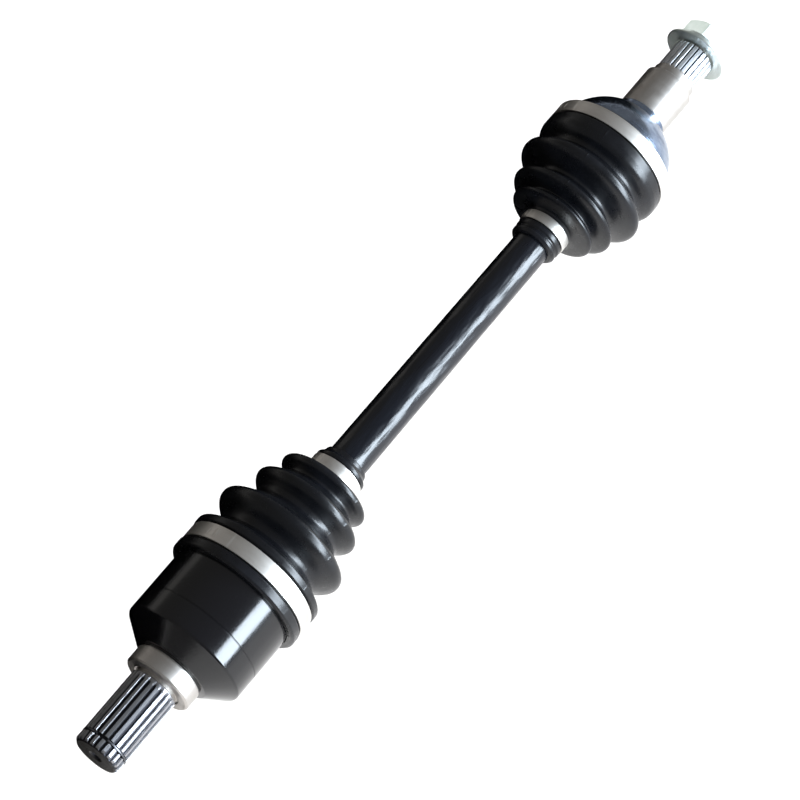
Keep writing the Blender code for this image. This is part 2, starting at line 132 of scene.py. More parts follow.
def curve(points):
    """A smooth outline through its points (Catmull-Rom)."""
    p = [np.array(q, float) for q in points]
    p = [2 * p[0] - p[1]] + p + [2 * p[-1] - p[-2]]
    out = []
    for i in range(1, len(p) - 2):
        for k in range(CURVE_STEPS):
            t = k / CURVE_STEPS
            out.append(0.5 * (2 * p[i] + (p[i + 1] - p[i - 1]) * t
                              + (2 * p[i - 1] - 5 * p[i] + 4 * p[i + 1] - p[i + 2]) * t * t
                              + (3 * p[i] - p[i - 1] - 3 * p[i + 1] + p[i + 2]) * t ** 3))
    return out + [p[-2]]


def inwards(points, distance):
    """A smooth outline moved towards the axis by a wall thickness."""
    p = np.array(points)
    along = np.gradient(p, axis=0)
    along /= np.linalg.norm(along, axis=1)[:, None]
    return list(p + np.stack([along[:, 1], -along[:, 0]], 1) * distance)


def even(count):
    """Evenly spaced angles round the axis."""
    return np.arange(count) * TAU / count


def toothed(teeth):
    """Angles round a spline, with samples along each tooth's flanks. A gap's middle is at share 0."""
    flank = [0.06 + 0.04 * k for k in range(7)]
    shares = [0.0] + flank + [0.5] + [1.0 - share for share in reversed(flank)]
    return np.concatenate([(np.array(shares) + k) * TAU / teeth for k in range(teeth)])


def marked(count, marks, width):
    """Even angles with a few close ones added about each mark."""
    extra = [m + k * width / 2 for m in marks for k in range(-3, 4)]
    clear = [a for a in even(count)
             if min(abs((a - m + math.pi) % TAU - math.pi) for m in marks) > 2 * width]
    return np.array(sorted(a % TAU for a in clear + extra))


def lathe(name, outline, angles, closed=False, shape=None, zones=(), sharp=32):
    """Spins an outline into one closed mesh. shape(x, r, angles) may change the x and r of a ring's points.
    zones are (x, material index) steps: a face left of x takes that index."""
    count = len(angles)
    verts, rings = [], []
    for x, r in outline:
        if r < 1e-6:
            rings.append([len(verts)] * count)
            verts.append((x, 0.0, 0.0))
            continue
        xs, rs = np.full(count, float(x)), np.full(count, float(r))
        if shape:
            xs, rs = shape(xs, rs, angles)
        rings.append(list(range(len(verts), len(verts) + count)))
        verts += list(zip(xs, rs * np.sin(angles), rs * np.cos(angles)))
    pairs = list(zip(rings, rings[1:])) + ([(rings[-1], rings[0])] if closed else [])
    faces = []
    for low, high in pairs:
        for i in range(count):
            j = (i + 1) % count
            face = [low[i], high[i], high[j], low[j]]
            if low[0] == low[-1]:
                face = [low[0], high[i], high[j]]
            elif high[0] == high[-1]:
                face = [low[i], high[0], low[j]]
            faces.append(face)
    mesh = bpy.data.meshes.new(name)
    mesh.from_pydata([(x * MM, y * MM, z * MM) for x, y, z in verts], [], faces)
    mesh.validate()
    mesh.shade_smooth()
    mesh.set_sharp_from_angle(angle=math.radians(sharp))
    for polygon in mesh.polygons:
        x = polygon.center.x / MM
        polygon.material_index = next((index for limit, index in zones if x < limit), 0)
    obj = bpy.data.objects.new(name, mesh)
    bpy.context.scene.collection.objects.link(obj)
    return obj


def outward(obj):
    """Turns the faces outwards if the outline was drawn the other way round."""
    mesh = obj.data
    volume = 0.0
    for polygon in mesh.polygons:
        corners = [mesh.vertices[i].co for i in polygon.vertices]
        for b, c in zip(corners[1:], corners[2:]):
            volume += corners[0].dot(b.cross(c))
    if volume < 0:
        mesh.flip_normals()


def tooth_radius(angles, teeth, root, tip, land):
    """The radius of a spline's surface by angle. Land is the share of the pitch that a tooth's foot takes."""
    share = (angles * teeth / TAU) % 1.0
    from_middle = np.abs(share - 0.5) * 2
    height = np.clip((land - from_middle) / 0.28, 0, 1)
    height = height * height * (3 - 2 * height)
    return root + (tip - root) * height


def splined(x0, x1, teeth, root, tip, land=0.68):
    """A shape that cuts teeth between two stations and runs them out on a radius."""
    def shape(xs, rs, angles):
        if rs[0] > tip + 0.15:
            return xs, rs
        past = max(x0 - xs[0], xs[0] - x1, 0.0)
        floor = tooth_radius(angles, teeth, root, tip, land) + past * past / (2 * RUN_OUT)
        return xs, np.minimum(rs, floor)
    return shape


def threaded(x0, x1, pitch, depth):
    """A shape that cuts a right-hand V thread between two stations."""
    def shape(xs, rs, angles):
        if not x0 <= xs[0] <= x1:
            return xs, rs
        phase = (xs / pitch - angles / TAU) % 1.0
        fade = min(1.0, (xs[0] - x0) / pitch)
        return xs, rs - depth * fade * (1 - np.abs(phase - 0.5) * 2)
    return shape


def both(*shapes):
    """Several shapes in turn, as one."""
    def shape(xs, rs, angles):
        for one in shapes:
            xs, rs = one(xs, rs, angles)
        return xs, rs
    return shape


def ball_offsets(angles):
    """How far each angle is from the nearest of the six balls."""
    return (angles + TAU / 12) % (TAU / 6) - TAU / 12


def cup_tracks(xs, rs, angles):
    """Six straight grooves in the cup's bore."""
    start, end, bore_from, bore_to = -207.5, -143.0, 27.0, 31.5
    if not (start < xs[0] < end and bore_from < rs[0] < bore_to):
        return xs, rs
    delta = ball_offsets(angles)
    inside = np.clip(TRACK_DEPTH ** 2 - (PITCH * np.sin(delta)) ** 2, 0, None)
    groove = PITCH * np.cos(delta) + np.sqrt(inside)
    return xs, np.maximum(rs, np.where(inside > 0, groove, 0))


def bell_tracks(xs, rs, angles):
    """Six grooves in the bell's bore that curve round the joint's centre."""
    along = xs[0] - OUTBOARD
    face, face_radius = -9.9, 33.5      # the grooves also run through the mouth's face
    clearance, rounds = 0.4, 12
    mouth = along < face and rs[0] < face_radius
    if along > FLOOR_GAP - 0.1 or (math.hypot(along, rs[0]) > BELL_RADIUS - BELL_SKIN and not mouth):
        return xs, rs
    half_width, depth = 10.7, TRACK_DEPTH + clearance
    delta = ball_offsets(angles)
    groove = rs.copy()
    for _ in range(rounds):
        across = np.clip(np.abs(groove * np.sin(delta)) / half_width, 0, 1)
        reach = PITCH + depth * np.sqrt(1 - across ** 2)
        groove = np.sqrt(np.clip(reach ** 2 - along ** 2, 0, None)) / np.cos(delta)
    side = np.abs(groove * np.sin(delta)) < half_width - 0.1
    return xs, np.where(side, np.maximum(rs, groove + 0.01 * rs), rs)


# Materials -------------------------------------------------------------------------------------

class Nodes:
    """A material's node tree, with its Principled shader and short ways to add to it."""

    def __init__(self, name, colour, roughness, metallic=0.0, **settings):
        self.material = bpy.data.materials.new(name)
        self.material.use_nodes = True
        self.tree = self.material.node_tree
        self.shader = self.tree.nodes["Principled BSDF"]
        self.put("Base Color", (*colour, 1.0))
        self.put("Roughness", roughness)
        self.put("Metallic", metallic)
        for key, value in settings.items():
            self.put(key.replace("_", " "), value)
        self.place = self.add("ShaderNodeTexCoord").outputs["Object"]

    def add(self, kind, inputs=None, **fields):
        """Adds a node. Each input is a value or another node's socket."""
        node = self.tree.nodes.new(kind)
        for key, value in fields.items():
            setattr(node, key, value)
        for key, value in (inputs or {}).items():
            if isinstance(value, bpy.types.NodeSocket):
                self.tree.links.new(value, node.inputs[key])
            else:
                node.inputs[key].default_value = value
        return node

    def put(self, key, value):
        """Sets or links one input of the shader."""
        if isinstance(value, bpy.types.NodeSocket):
            self.tree.links.new(value, self.shader.inputs[key])
        else:
            self.shader.inputs[key].default_value = value

    def math(self, operation, a, b=0.0, c=0.0):
        return self.add("ShaderNodeMath", {0: a, 1: b, 2: c}, operation=operation).outputs[0]

    def around(self, along, turn, outwards=0.0):
        """Cylinder coordinates about the axle: scaled station, angle and radius in millimetres."""
        split = self.add("ShaderNodeSeparateXYZ", {0: self.place}).outputs
        angle = self.math("ARCTAN2", split["Y"], split["Z"])
        radius = self.math("SQRT", self.math("ADD", self.math("MULTIPLY", split["Y"], split["Y"]),
                                             self.math("MULTIPLY", split["Z"], split["Z"])))
        return self.add("ShaderNodeCombineXYZ", {
            0: self.math("MULTIPLY", split["X"], along / MM),
            1: self.math("MULTIPLY", angle, turn),
            2: self.math("MULTIPLY", radius, outwards / MM)}).outputs[0]

    def noise(self, place, scale=1.0, detail=2.0, rough=0.5):
        return self.add("ShaderNodeTexNoise", {"Vector": place, "Scale": scale, "Detail": detail,
                                               "Roughness": rough}).outputs["Fac"]

    def between(self, value, low, high, out_low=0.0, out_high=1.0):
        """A smooth rise from one output to the other as the value goes from low to high."""
        return self.add("ShaderNodeMapRange", {0: value, 1: low, 2: high, 3: out_low, 4: out_high},
                        interpolation_type="SMOOTHSTEP").outputs[0]

    def mix(self, share, a, b):
        """Colour a, turning to colour b as share goes to 1."""
        node = self.add("ShaderNodeMix", data_type="RGBA")
        for index, value in ((0, share), (6, a), (7, b)):
            if isinstance(value, bpy.types.NodeSocket):
                self.tree.links.new(value, node.inputs[index])
            else:
                node.inputs[index].default_value = (*value, 1.0) if index else value
        return node.outputs[2]

    def bump(self, height, distance, strength=1.0, under=None):
        """A bumped normal, over another one if it's given."""
        inputs = {"Height": height, "Distance": distance, "Strength": strength}
        if under:
            inputs["Normal"] = under
        return self.add("ShaderNodeBump", inputs).outputs[0]


def gloss_paint(name, colour, roughness, ripple, coat):
    """Black enamel over turned steel: orange peel, long soft ripples and a little dust."""
    n = Nodes(name, colour, roughness, Coat_Weight=coat, Coat_Roughness=0.08)
    peel = n.noise(n.place, 900, 2)
    wave = n.noise(n.around(0.035, 1.6), 1.0, 2)
    dust = n.between(n.noise(n.place, 2600, 3, 0.65), 0.66, 0.78)
    n.put("Roughness", n.math("ADD", n.between(n.noise(n.around(0.02, 1.0), 1.0, 3), 0.3, 0.7,
                                               roughness * 0.75, roughness * 1.25),
                              n.math("MULTIPLY", dust, 0.25)))
    n.put("Base Color", n.mix(n.math("MULTIPLY", dust, 0.08), colour, (0.25, 0.24, 0.23)))
    n.put("Normal", n.bump(peel, 0.00005, 0.5, n.bump(wave, ripple)))
    return n.material


def turned_steel(name, colour, roughness, lines=6.0, tint=(0.32, 0.28, 0.24), stain=0.25, depth=0.00002):
    """Machined steel: fine rings round the axis, faint oil stains and uneven polish."""
    n = Nodes(name, colour, roughness, 1.0)
    rings = n.noise(n.around(lines, 0.6, lines), 1.0, 4, 0.7)
    blotch = n.between(n.noise(n.around(0.09, 1.7, 0.09), 1.0, 4, 0.6), 0.45, 0.72)
    specks = n.between(n.noise(n.place, 1500, 3, 0.6), 0.68, 0.76)
    shade = n.mix(n.math("MULTIPLY", blotch, stain), colour, tint)
    n.put("Base Color", n.mix(n.math("MULTIPLY", specks, 0.5), shade, [0.4 * c for c in tint]))
    n.put("Roughness", n.math("ADD", n.between(rings, 0.25, 0.75, roughness * 0.8, roughness * 1.25),
                              n.math("MULTIPLY", blotch, 0.1)))
    n.put("Normal", n.bump(rings, depth, 0.7))
    return n.material


def hobbed_steel(name, colour, roughness, root, tip):
    """Spline teeth: hob marks along the teeth, and painted shade that darkens the roots between them."""
    n = Nodes(name, colour, roughness, 1.0)
    marks = n.noise(n.around(0.25, 60.0), 1.0, 3, 0.6)
    chatter = n.noise(n.around(2.2, 1.0), 1.0, 2)
    radius = n.add("ShaderNodeSeparateXYZ", {0: n.around(0.0, 0.0, 1.0)}).outputs["Z"]
    # Painted shade: the colour turns near black towards the roots between the teeth, where shade falls.
    out_of_root_shade = n.between(radius, root + 0.05 * (tip - root), root + 0.6 * (tip - root))
    worn = n.mix(n.between(marks, 0.42, 0.7), colour, [0.6 * c for c in colour])
    n.put("Base Color", n.mix(out_of_root_shade, (0.03, 0.03, 0.035), worn))
    n.put("Roughness", n.between(marks, 0.3, 0.7, roughness * 0.75, roughness * 1.4))
    n.put("Normal", n.bump(chatter, 0.00002, 0.5, n.bump(marks, 0.00003, 0.6)))
    return n.material


def moulded_rubber(name, colour, roughness):
    """Boot rubber: a fine moulded grain, a faint bloom and dust in patches."""
    n = Nodes(name, colour, roughness, Specular_IOR_Level=0.42)
    grain = n.noise(n.place, 2200, 3, 0.6)
    soft = n.noise(n.place, 160, 3)
    bloom = n.between(n.noise(n.around(0.03, 1.1, 0.03), 1.0, 4, 0.6), 0.42, 0.75)
    dust = n.between(n.noise(n.place, 1900, 2), 0.70, 0.80)
    pale = n.mix(n.math("MULTIPLY", bloom, 0.5), colour, [3.2 * c for c in colour])
    n.put("Base Color", n.mix(n.math("MULTIPLY", dust, 0.12), pale, (0.2, 0.2, 0.2)))
    n.put("Roughness", n.between(soft, 0.3, 0.7, roughness * 0.88, roughness * 1.12))
    n.put("Normal", n.bump(grain, 0.00005, 0.45, n.bump(soft, 0.00012, 0.5)))
    return n.material


def rolled_steel(name, colour, roughness):
    """Stainless strip: long fine rolling lines along the band."""
    n = Nodes(name, colour, roughness, 1.0)
    lines = n.noise(n.around(9.0, 0.8), 1.0, 3, 0.65)
    smear = n.noise(n.around(0.2, 2.5), 1.0, 3)
    n.put("Base Color", n.mix(n.between(smear, 0.4, 0.75, 0.0, 0.35), colour, (0.5, 0.47, 0.43)))
    n.put("Roughness", n.between(lines, 0.25, 0.75, roughness * 0.8, roughness * 1.3))
    n.put("Normal", n.bump(lines, 0.000006, 0.5))
    return n.material


def plated(name, colour, roughness):
    """Zinc plating: a fine frosted grain with a greenish passivated bloom."""
    n = Nodes(name, colour, roughness, 1.0)
    grain = n.noise(n.place, 1600, 3, 0.6)
    bloom = n.between(n.noise(n.place, 120, 4), 0.4, 0.7)
    n.put("Base Color", n.mix(n.math("MULTIPLY", bloom, 0.5), colour, (0.62, 0.72, 0.66)))
    n.put("Roughness", n.between(grain, 0.3, 0.7, roughness * 0.85, roughness * 1.2))
    n.put("Normal", n.bump(grain, 0.00002, 0.4))
    return n.material


SHAFT_PAINT = gloss_paint("shaft_paint", (0.003, 0.004, 0.007), 0.27, ripple=0.0011, coat=0.1)
CUP_PAINT = gloss_paint("cup_paint", (0.003, 0.003, 0.004), 0.16, ripple=0.00015, coat=0.15)
GROUND = turned_steel("ground_steel", (0.54, 0.51, 0.48), 0.4, depth=0.000006)
# Painted shade: a near-black copy of the turned steel for the stub's end face and centre hole, which turn
# away from the light.
SHADED_END_FACE = turned_steel("end_face_shaded_steel", (0.045, 0.042, 0.04), 0.5, lines=2.0,
                        tint=(0.03, 0.028, 0.022), stain=0.6)
INBOARD_TEETH = hobbed_steel("inboard_teeth_steel", (0.4, 0.4, 0.42), 0.38, *INBOARD_SPLINE[1:])
OUTBOARD_TEETH = hobbed_steel("outboard_teeth_steel", (0.82, 0.84, 0.88), 0.42, *OUTBOARD_SPLINE[1:])
BELL = turned_steel("bell_steel", (0.34, 0.41, 0.53), 0.2, lines=1.2,
                    tint=(0.1, 0.13, 0.2), stain=0.8, depth=0.000004)
RUBBER = moulded_rubber("boot_rubber", (0.003, 0.0033, 0.0045), 0.3)
BAND = rolled_steel("band_steel", (0.76, 0.73, 0.69), 0.4)
ZINC = plated("zinc", (0.8, 0.86, 0.83), 0.42)
SPRING = turned_steel("spring_steel", (0.12, 0.12, 0.13), 0.34)
RACE = turned_steel("race_steel", (0.48, 0.49, 0.5), 0.2)
CAGE = turned_steel("cage_steel", (0.2, 0.2, 0.21), 0.36)
CHROME = turned_steel("ball_steel", (0.78, 0.78, 0.8), 0.06, lines=2.0,
                      tint=(0.7, 0.7, 0.7), stain=0.1, depth=0.000002)


def finish(obj, body, slot, materials, *replaced):
    """Gives a piece its materials and the body it rides on, if any, and hides the CAD nodes that it stands
    for.
    """
    outward(obj)
    for material in materials:
        obj.data.materials.append(material)
    if body:
        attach(obj, body)
    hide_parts(*replaced)


# Inboard cup and stub ----------------------------------------------------------------------------

teeth, root, tip = INBOARD_SPLINE
outline = [(-281.4, 0), (-283.4, 1.6, 0.3), (-286.2, 3.1, 0.3), (-287.0, 4.3, 0.3), (-287.0, 12.8, 0.5),
           (-285.2, tip, 0.4), (-280.4, tip, 0.15), (-280.4, 12.8, 0.3), (-278.4, 12.8, 0.3),
           (-278.4, tip, 0.15), (-237.8, tip), (-237.0, 12.9, 0.5), (-234.9, 12.9, 0.5),
           (-234.9, 14.3, 0.3), (-235.5, 15.1, 0.3), (-235.5, 19.9, 0.5), (-234.4, 20.8, 0.5)]
stub = held(rounded(outline), 0.8)
outline = [(-234.4, 20.8), (-225.2, 20.8, 0.2), (-225.0, 20.1, 0.3), (-224.1, 20.1, 0.6), (-223.4, 23.6, 0.9),
           (-213.2, 36.9, 0.9), (-212.2, CUP_RADIUS, 0.8), (-198.6, CUP_RADIUS, 0.12), (-198.3, 37.25, 0.15),
           (-198.0, 37.25, 0.15), (-197.7, CUP_RADIUS, 0.12), (-148.2, CUP_RADIUS, 1.0), (-146.7, 36.1, 0.5),
           (-146.7, 30.2, 0.4), (-148.2, CUP_BORE), (-148.3, 30.7), (-150.6, 30.7), (-150.6, CUP_BORE),
           (-207.0, CUP_BORE), (-208.0, CUP_BORE), (-211.0, 24.0), (-211.0, 0)]
body = held(rounded(outline), 6.0)
cup = lathe("inboard_cup_forging", stub + body[1:], toothed(teeth), False,
            both(splined(-290, -241.0, teeth, root, tip), cup_tracks),
            [(-286.6, 3), (-237.4, 2), (-224.6, 1)])
finish(cup, "inboard_cup", "cup_paint", [CUP_PAINT, GROUND, INBOARD_TEETH, SHADED_END_FACE], "inboard_cup")


# Shaft -------------------------------------------------------------------------------------------

def shaft_half(centre, half, side, taper_end, bar_end, bar):
    """Outline of one end of the shaft, from its tip to the bar."""
    face, clip = centre - side * (half + 0.4), centre + side * (half + 0.4)
    end = centre + side * (half + 4.0)
    return [(end, 0), (end, 10.0, 0.3), (end - side, 11.0, 0.3), (clip + side * 1.45, 11.0),
            (clip + side * 1.45, 9.4, 0.2), (clip - side * 0.15, 9.4, 0.2), (clip - side * 0.15, 11.0),
            (face, 11.0), (face, 12.6, 0.4), (face - side * 3, 12.6, 0.4), (face - side * 4.5, 10.5, 1.5),
            (taper_end, 10.5, 6), (bar_end, bar, 6)]


outline = shaft_half(INBOARD, 11.0, -1, -127.5, -94.5, 12.0)
outline += shaft_half(OUTBOARD, 11.5, 1, 143.0, 125.0, 11.2)[::-1]
shaft = lathe("axle_shaft_bar", held(rounded(outline), 4.0), toothed(RACE_SPLINE[0]), False,
              both(splined(-200.0, -167.3, *RACE_SPLINE), splined(166.0, 200.0, *RACE_SPLINE)),
              [(-127, 1), (143, 0), (200, 1)])
finish(shaft, "shaft", "shaft_paint", [SHAFT_PAINT, RACE], "axle_shaft")


# Outboard bell and stub --------------------------------------------------------------------------

def sphere(radius, x0, x1, steps):
    """Outline of a sphere about the outboard joint's centre, between two stations."""
    angles = [math.acos((x - OUTBOARD) / radius) for x in (x0, x1)]
    return [(OUTBOARD + radius * math.cos(a), radius * math.sin(a)) for a in np.linspace(*angles, steps + 1)]


fillet = 19.4
meet = OUTBOARD + math.sqrt(BELL_RADIUS ** 2 - fillet ** 2)
bell_floor = OUTBOARD + FLOOR_GAP
teeth, root, tip = OUTBOARD_SPLINE
outline = [(bell_floor, 0), (bell_floor, 12.0)] + sphere(BELL_BORE, bell_floor - 0.1, BELL_MOUTH, 30)
outline += [(BELL_MOUTH, 35.0, 0.6), (169.3, BELL_SEAT, 0.8), (187.0, BELL_SEAT, 0.3), (187.2, 36.2, 0.2)]
outline = [np.array(p) for p in held(rounded(outline), 3.0)]
dome = [np.array(p) for p in sphere(BELL_RADIUS, 188.0, meet, 40)]
stub = [tuple(dome[-1]), (meet + 2.2, 16.2, 2.0), (meet + 2.9, 15.1, 0.5), (meet + 4.8, 15.1, 0.5),
        (meet + 5.2, 15.6, 0.2), (241.4, 15.6, 0.5), (242.0, 15.0, 0.3), (242.0, 13.8, 0.4),
        (242.6, 13.4, 0.5), (247.2, 13.4, 0.3), (248.0, tip)]
stub = held(rounded(stub), 3.0)
teeth_run = held([np.array(p) for p in ((248.0, tip), (267.3, tip))], 0.8)
thread = [np.array(p) for p in ((267.9, 12.0), (268.1, 10.0), (268.3, THREAD_RADIUS))]
thread += [np.array((x, THREAD_RADIUS)) for x in np.arange(268.5, 285.8, 0.25)]
thread += held(rounded([(285.8, THREAD_RADIUS), (287.0, 7.7, 0.3), (287.0, 3.4, 0.4), (284.6, 1.6, 0.3),
                        (282.6, 0)]))
whole = outline + dome + stub[1:] + teeth_run[1:] + thread
bell = lathe("outboard_bell_forging", whole, toothed(teeth), False,
             both(splined(249.6, 270, teeth, root, tip, land=0.86),
                  threaded(268.4, 286.9, THREAD_PITCH, THREAD_DEPTH), bell_tracks),
             [(187.1, 3), (meet + 5.0, 0), (248.4, 1), (268.0, 2), (290, 1)])
finish(bell, "outboard_bell", "bell_steel", [BELL, GROUND, OUTBOARD_TEETH, RACE], "outboard_bell")


# Boots -------------------------------------------------------------------------------------------

def seam_shape(angle, crests):
    """A mould parting line on two opposite sides, with a nick of flash on each crest."""
    line_height, nick_height, nick_reach, half_width = 0.05, 0.22, 1.6, 0.55
    crest_depth = 1.2       # a ring this near to a crest's radius belongs to it

    def shape(xs, rs, angles):
        off = np.minimum(np.abs((angles - angle + math.pi) % TAU - math.pi),
                         np.abs((angles - angle) % TAU - math.pi)) * rs[0]
        near = max((1 - abs(xs[0] - x) / nick_reach for x, r in crests
                    if abs(rs[0] - r) < crest_depth), default=0.0)
        return xs, rs + (line_height + nick_height * max(near, 0.0)) * np.clip(1 - off / half_width, 0, 1)
    return shape


def cut_at(points, x):
    """Where an outline that runs in x passes a station: an index, and the middle of the run found there."""
    for i, (a, b) in enumerate(zip(points, points[1:])):
        if (a[0] - x) * (b[0] - x) <= 0 and a[0] != b[0]:
            return i + 1, (a + b) / 2
    raise ValueError(f"the outline doesn't cross {x}")


def boot(name, outer, inner, cuts, angle, crests, node):
    """A boot in closed lengths that meet at the given cut stations."""
    outer, inner = [np.array(p, float) for p in outer], [np.array(p, float) for p in inner]
    angles = marked(176, (angle % TAU, (angle + math.pi) % TAU), 0.011)
    outs, ins = [], []
    for source, target in ((outer, outs), (inner, ins)):
        rest = source
        for x in cuts:
            i, point = cut_at(rest, x)
            target.append(rest[:i] + [point])
            rest = [point] + rest[i:]
        target.append(rest)
    flash = seam_shape(angle, crests)
    for k, (top, under) in enumerate(zip(outs, ins)):
        piece = lathe(f"{name}_{k + 1}", top + under[::-1], angles, True,
                      lambda xs, rs, a: flash(xs, rs, a) if rs[0] > NECK_BORE else (xs, rs))
        finish(piece, None, "rubber", [RUBBER], node)
        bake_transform(piece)


def drop_double(points):
    """The outline without points that repeat the one before."""
    out = [points[0]]
    for p in points[1:]:
        if np.linalg.norm(np.array(p) - np.array(out[-1])) > 1e-3:
            out.append(p)
    return out


folds = curve([(-148.9, 41.9), (-147.6, 41.4), (-145.7, 38.1), (-143.9, 34.5), (-140.7, 32.5), (-137.2, 33.9),
               (-133.0, 38.3), (-130.3, 40.5), (-127.9, 41.2), (-125.4, 40.5), (-122.9, 37.0), (-119.2, 30.9),
               (-116.3, 28.4), (-113.5, 28.1), (-110.8, 30.0), (-108.0, 32.7), (-105.3, 33.8), (-102.9, 32.7),
               (-100.2, 28.7), (-98.0, 25.1), (-95.7, 23.5), (-93.3, 25.2), (-91.3, 27.5), (-89.3, 28.2),
               (-87.4, 27.0), (-86.0, 23.5), (-85.2, 19.6)])
cuff = held(rounded([(-170.6, 37.9), (-170.6, 40.6, 0.9), (-169.3, 42.0, 1.2), (-164.6, 42.0, 0.8),
                     (-163.6, 40.3, 0.5), (-152.5, 40.3, 0.5), (-151.7, 41.9, 0.8), (-148.9, 41.9)]), 4.0)
neck = held(rounded([(-85.2, 19.6), (-84.3, 15.2, 1.2), (-76.0, 15.2, 0.4), (-75.6, 16.1, 0.5),
                     (-73.6, 16.1, 1.0), (-71.3, 14.0, 1.6), (-68.6, 13.5, 0.9), (-68.2, 12.3)]), 3.0)
outer = drop_double(cuff + folds[1:] + neck[1:])[1:-1]
lining = [p for p in inwards(folds, BOOT_WALL) if -145.0 < p[0] < -87.5]
inner = [(-170.6, 37.9), (-159, 37.9), (-148.7, 37.9), (-146.3, 35.4)] + lining
inner += [(-85.9, 14.0), (-85.3, 12.3), (-76.7, 12.3), (-68.2, 12.3)]
boot("inboard_boot_length", outer, inner, (-130.6, -122.5, -113.0, -101.8),
     SEAM_INBOARD, ((-127.9, 41.2), (-105.3, 33.8), (-89.3, 28.2), (-167, 42), (-150, 42)), "inboard_boot")

folds = curve([(122.8, 15.4), (123.5, 18.7), (123.9, 22.8), (124.4, 26.1), (125.6, 27.5), (127.2, 26.8),
               (128.7, 24.1), (130.1, 23.3), (131.5, 25.5), (133.0, 30.7), (134.4, 33.4), (136.2, 34.1),
               (137.9, 32.7), (140.0, 28.8), (142.3, 26.7), (144.6, 27.8), (147.0, 32.5), (149.1, 37.8),
               (151.1, 40.4), (153.4, 40.9), (155.4, 39.8), (157.6, 36.2), (159.4, 34.0), (161.2, 33.3),
               (163.2, 34.6), (165.4, 37.6), (167.6, 39.6), (170.0, 40.4), (171.5, 40.5)])
neck = held(rounded([(105.2, 11.5), (105.4, 13.3, 0.6), (106.9, 14.7, 0.9), (108.5, 14.7, 0.8),
                     (109.2, 13.9, 0.6), (110.0, 13.9, 0.6), (110.9, 14.9, 0.8), (113.4, 14.9, 0.5),
                     (114.0, 14.1, 0.4), (121.3, 14.1, 0.8), (122.8, 15.4)]), 3.0)
cuff = held(rounded([(171.5, 40.5), (175.6, 40.5, 0.9), (176.4, 39.1, 0.5), (186.2, 39.1, 0.6),
                     (186.9, 38.4, 0.6), (186.9, 37.1)]), 4.0)
outer = drop_double(neck + folds[1:] + cuff[1:])[1:-1]
lining = [p for p in inwards(folds, BOOT_WALL) if 125.4 < p[0] < 164.5]
inner = [(105.2, 11.5), (114, 11.5), (123.4, 11.5), (124.6, 13.4)] + lining
inner += [(167.0, 34.7), (169.0, 37.1), (178.0, 37.1), (186.9, 37.1)]
boot("outboard_boot_length", outer, inner, (133.0, 147.5, 157.5),
     SEAM_OUTBOARD, ((125.6, 27.5), (136.2, 34.1), (153.4, 40.9), (171.5, 40.5)), "outboard_boot")


# Bands -------------------------------------------------------------------------------------------

def strap(name, x0, x1, inner, lap_degrees, body):
    """A crimped band: its outer end laps over and stops in a step, with two pressed hooks behind it."""
    lap = math.radians(lap_degrees) % TAU
    rim = inner + BAND_THICKNESS
    outline = held(rounded([(x0, inner), (x0, rim, 0.25), (x1, rim, 0.25), (x1, inner)]), 0.9)
    step = 1.1 / rim
    lap_end, lap_fade = math.radians(46), math.radians(22)
    half_hook = 0.26        # as a share of the band's width

    def shape(xs, rs, angles):
        past = (angles - lap) % TAU
        rise = np.clip(past / step, 0, 1) * np.clip((lap_end - past) / lap_fade, 0, 1)
        lift = LAP_LIFT * rise * (rs[0] > inner + 0.5)
        across = (xs[0] - (x0 + x1) / 2) / (x1 - x0)
        for place in HOOKS:
            away = np.abs(past - math.radians(place)) * rim
            if rs[0] > inner + 0.8 and abs(across) < half_hook:
                side = min(1.0, (half_hook - abs(across)) / 0.06)
                lift = lift + HOOK_HEIGHT * np.clip((1.3 - away) / 0.4, 0, 1) * side
        return xs, rs + lift

    close = [lap + k * step / 2 for k in range(-2, 5)]
    close += [lap + math.radians(p) + k * 0.2 / rim for p in HOOKS for k in range(-8, 9)]
    angles = np.array(sorted({round(a % TAU, 6) for a in list(even(144)) + close}))
    piece = lathe(name + "_strap", outline, angles, True, shape)
    finish(piece, body, "band_steel", [BAND], name)


strap("inboard_large_clamp", -162.9, -153.2, 40.6, LAPS["inboard_large"], "inboard_cup")
strap("inboard_small_clamp", -83.5, -76.5, 15.5, LAPS["inboard_small"], "shaft")
strap("outboard_large_clamp", 177.1, 185.6, 39.4, LAPS["outboard_large"], "outboard_bell")
strap("outboard_small_clamp", 114.4, 120.6, 14.4, LAPS["outboard_small"], "shaft")


# Nut and washer ----------------------------------------------------------------------------------

outline = [(268.8, 13.3, 0.3), (268.8, 19.2, 0.4), (269.4, 19.9, 0.5), (270.2, 19.9, 0.6), (271.5, 17.6, 0.4),
           (271.6, 17.2, 0.2), (271.6, NUT_BORE, 0.2), (270.0, NUT_BORE, 0.2)]
washer = lathe("axle_washer_ring", held(rounded(outline + [outline[0][:2]]), 1.0)[:-1], even(160), True)
finish(washer, "washer", "zinc", [ZINC], "axle_washer")


def hexagon(xs, rs, angles):
    """Cuts six flats above the nut's round foot."""
    foot, bore = 274.5, 11.0
    if xs[0] < foot or rs[0] < bore:
        return xs, rs
    turn = (angles % (TAU / 6)) - TAU / 12
    return xs, np.minimum(rs, HALF_FLATS / np.cos(turn))


outline = [(271.9, 10.0, 0.3), (271.9, 16.8, 0.4), (273.3, 17.0, 0.5), (274.4, 15.6, 0.2), (274.6, 15.5),
           (283.3, 15.5), (284.8, 13.2, 0.2), (284.8, 10.1, 0.3), (283.9, NUT_BORE, 0.2),
           (272.7, NUT_BORE, 0.2)]
offsets = np.linspace(-0.5, 0.5, 25) * TAU / 6
fine = np.array(sorted({round((c + o) % TAU, 6) for c in even(6) for o in offsets}))
nut = lathe("axle_nut_body", held(rounded(outline + [outline[0][:2]]), 0.8)[:-1], fine, True, hexagon,
            sharp=25)
finish(nut, "nut", "zinc", [ZINC], "axle_nut")


# Snap rings and inner parts ------------------------------------------------------------------------

